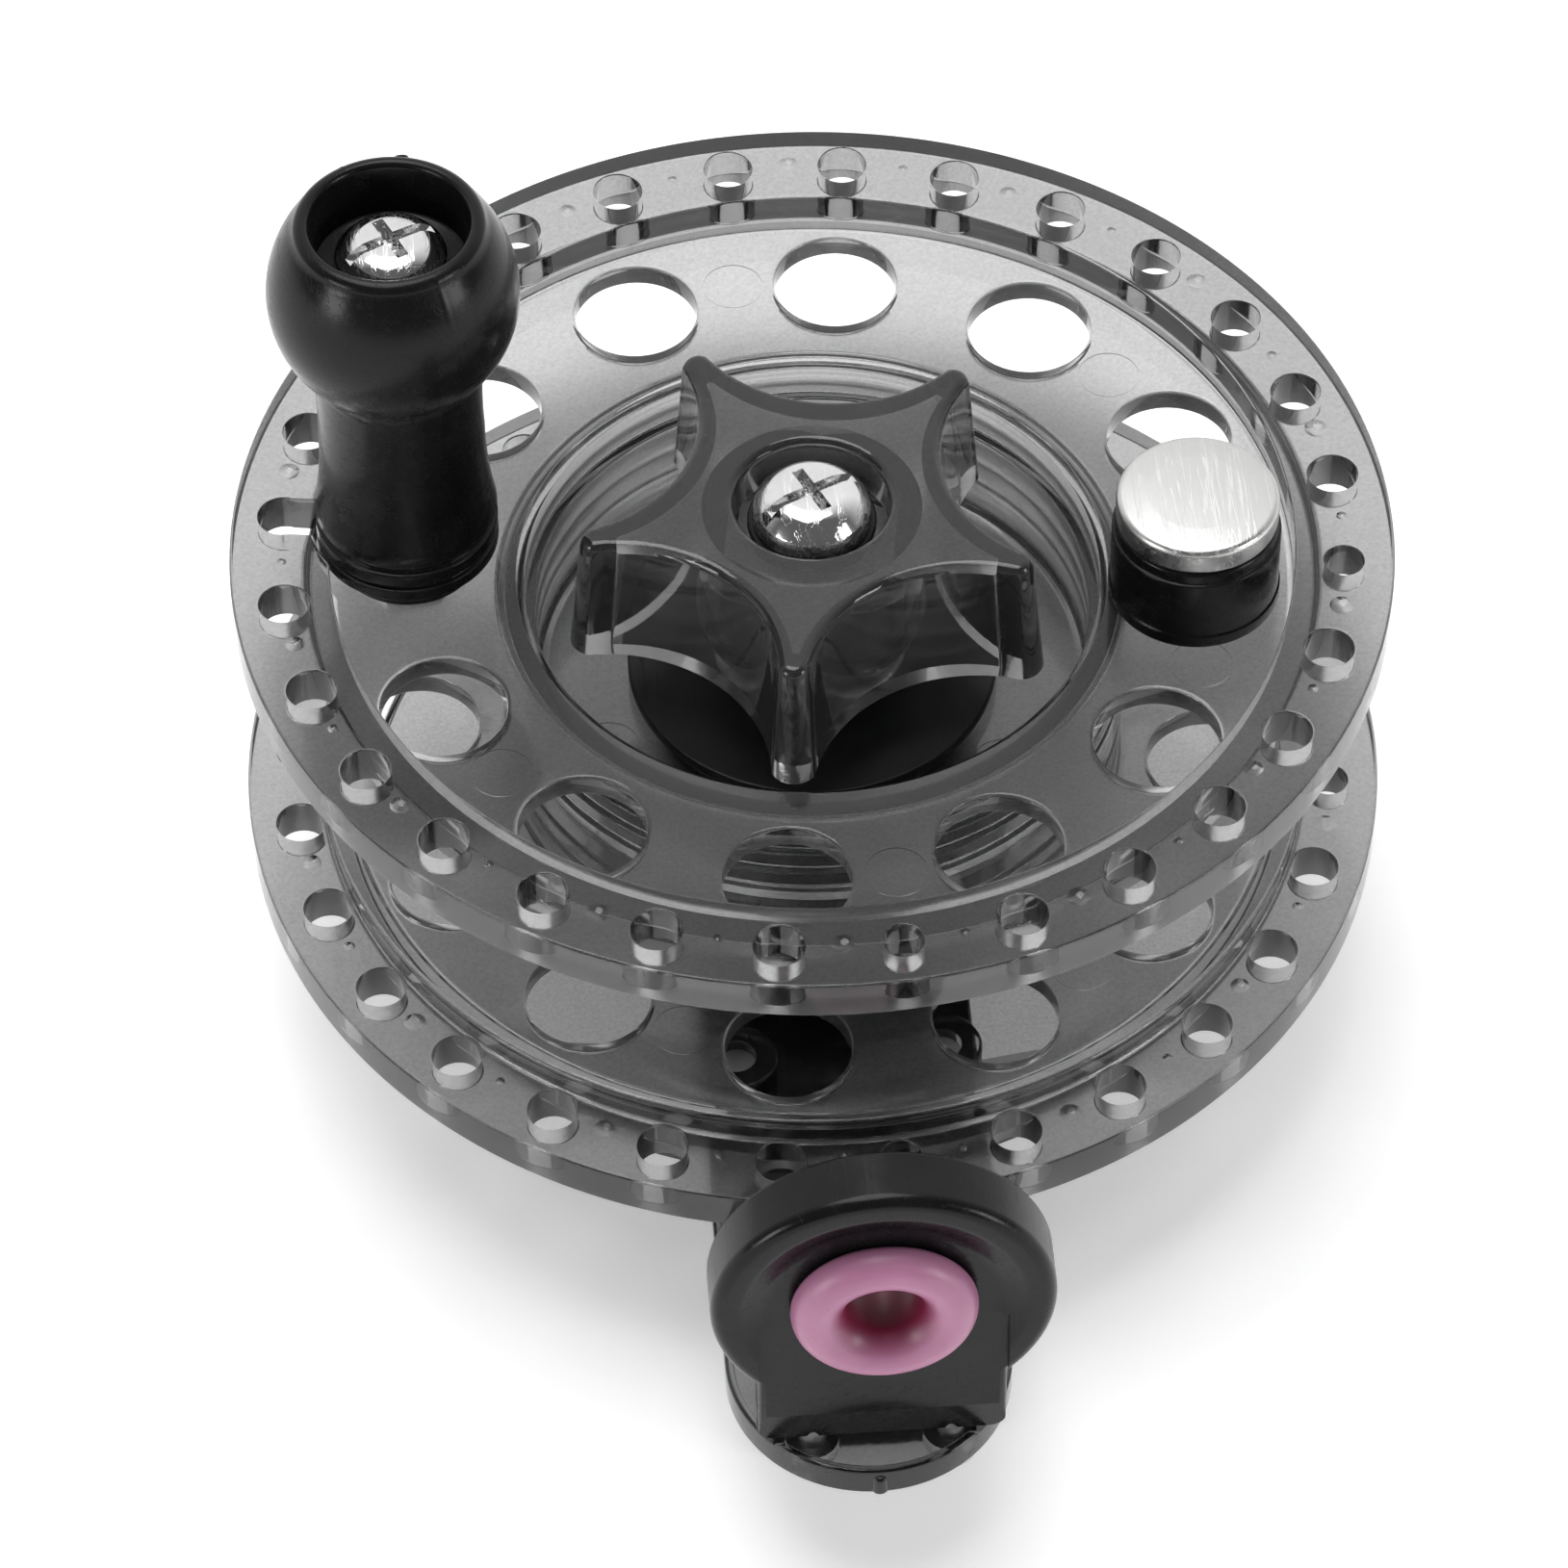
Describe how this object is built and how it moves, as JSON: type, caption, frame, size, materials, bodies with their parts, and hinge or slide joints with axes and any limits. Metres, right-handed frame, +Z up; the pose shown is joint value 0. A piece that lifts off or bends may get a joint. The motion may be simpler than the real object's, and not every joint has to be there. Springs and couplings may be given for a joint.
{
  "type": "fishing reel",
  "caption": "Fishing reel with a clear smoke spool between pierced flanges, star drag knob, side handle, counterweight, ringed line guide and rod foot.",
  "frame": {"origin": "on the spindle axis, in the plane of the underside of the rod foot", "axes": "+Z up the spindle towards the handle, -Y towards the line guide, +X to the right seen from behind the reel with the guide away"},
  "size_m": [0.09, 0.1119, 0.0787],
  "materials": {
    "smoke_clear": "clear smoke-tinted moulded plastic, glossy with faint scratches",
    "smoke_dark": "darker smoke-tinted clear plastic, high gloss",
    "black_gloss": "black moulded plastic, glossy with a fine parting line",
    "black_satin": "black coated steel, satin",
    "chrome": "bright plated steel screw heads",
    "nickel": "satin nickel plate with fine scratches",
    "steel": "plain machined steel",
    "pink_ceramic": "glazed pink ceramic, polished by the line",
    "fibre": "dark fibre brake washer"
  },
  "bodies": {
    "frame": {"reel_foot": "black_gloss", "back_plate": "smoke_clear", "foot_screws": "nickel", "spindle": "steel", "spindle_nut": "nickel", "spool_washer": "nickel", "pressure_plate": "black_satin", "centre_washer": "black_gloss", "centre_screw": "chrome", "guide_bracket": "black_gloss", "line_ring": "pink_ceramic", "guide_screws": "nickel", "pawl_pin": "steel"},
    "spool": {"spool_top": "smoke_clear", "spool_bottom": "smoke_clear", "spool_screws": "nickel", "spool_bush": "steel", "friction_washer": "fibre", "click_ratchet": "black_gloss", "handle_screw": "chrome", "handle_sleeve": "steel", "handle_washer": "black_satin", "handle_nut": "nickel", "counterweight": "nickel", "counterweight_cup": "black_gloss", "counterweight_screw": "nickel"},
    "handle": {"handle_knob": "black_gloss"},
    "drag_carriage": {"spring_washer": "nickel", "drag_spring": "steel"},
    "star": {"star_knob": "smoke_dark", "drag_nut": "steel"},
    "pawl": {"click_pawl": "black_gloss"}
  },
  "joints": [
    {"name": "spool_spin", "type": "hinge", "parent": "frame", "child": "spool", "pos_m": [0, 0, 0.0315], "axis": [0, 0, 1], "continuous": true},
    {"name": "handle_spin", "type": "hinge", "parent": "spool", "child": "handle", "pos_m": [-0.03111, 0.00423, 0.0438], "axis": [0, 0, 1], "continuous": true},
    {"name": "drag_travel", "type": "slide", "parent": "frame", "child": "drag_carriage", "axis": [0, 0, 1], "range_m": [-0.0016, 0], "deforming": ["drag_spring"]},
    {"name": "drag_turn", "type": "hinge", "parent": "drag_carriage", "child": "star", "pos_m": [0, 0, 0.0425], "axis": [0, 0, 1], "range_deg": [-450, 0]},
    {"name": "pawl_lift", "type": "hinge", "parent": "frame", "child": "pawl", "pos_m": [0.0119, -0.014, 0.0173], "axis": [0, 0, -1], "range_deg": [0, 6]}
  ],
  "couplings": [
    {"joint": "drag_travel", "follows": "drag_turn", "m_per_rad": 0.00019894}
  ]
}
